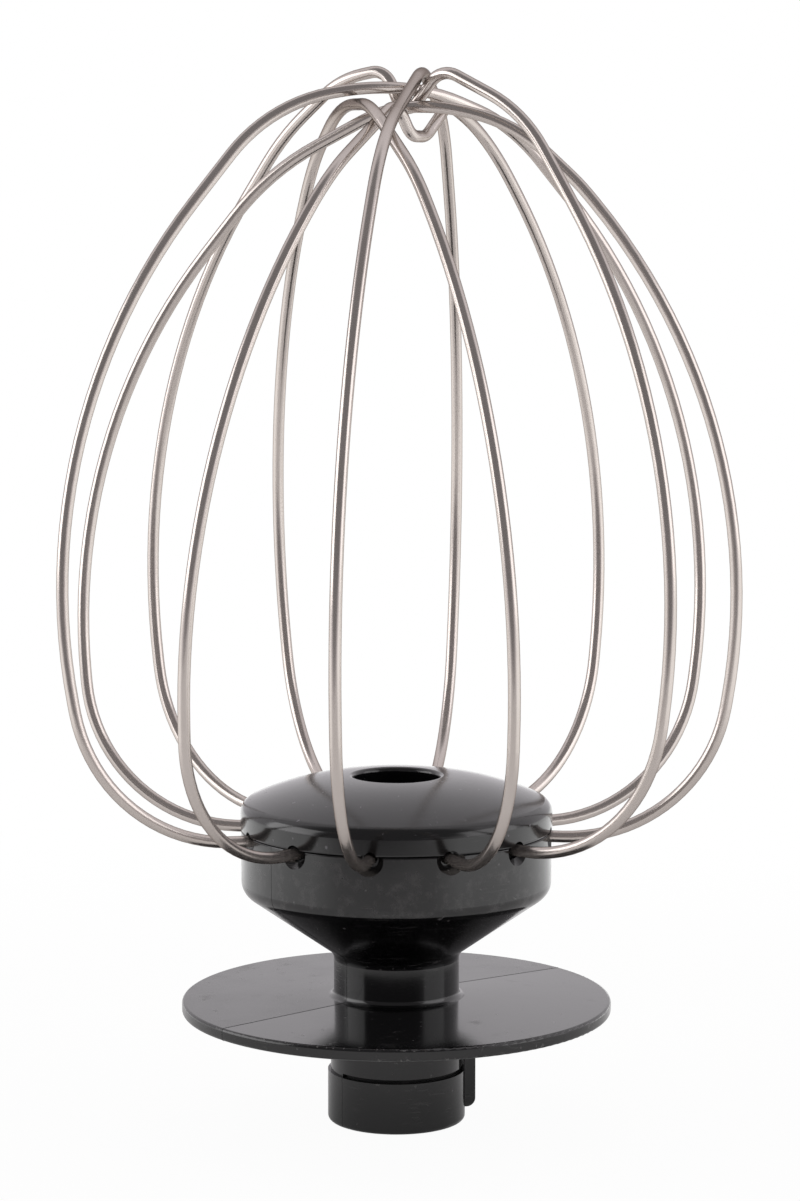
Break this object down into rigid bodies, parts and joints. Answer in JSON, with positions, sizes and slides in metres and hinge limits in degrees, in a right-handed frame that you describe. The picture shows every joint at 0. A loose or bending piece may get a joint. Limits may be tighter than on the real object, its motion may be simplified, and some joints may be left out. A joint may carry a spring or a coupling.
{
  "type": "stand mixer whisk",
  "caption": "Balloon whisk for a stand mixer: laced stainless wire loops held in a black hub with a domed cap, a splash disc and a keyed coupling sleeve.",
  "frame": {"origin": "centre of the coupling sleeve's bore at the foot, on the whisk's axis", "axes": "+Z along the axis from the coupling to the crown of the wires, -Y towards the sleeve's window side, +X towards the key rib"},
  "size_m": [0.1127, 0.1156, 0.1784],
  "materials": {
    "hub_plastic": "black moulded plastic, semi-gloss with light scuffs",
    "cap_plastic": "black moulded plastic, gloss",
    "wire_steel": "drawn stainless wire, polished"
  },
  "bodies": {
    "root": {"hub_body": "hub_plastic", "dome_cap": "cap_plastic", "wire_loop_1": "wire_steel", "wire_loop_2": "wire_steel", "wire_loop_3": "wire_steel", "wire_loop_4": "wire_steel", "wire_loop_5": "wire_steel", "wire_loop_6": "wire_steel"}
  },
  "joints": []
}
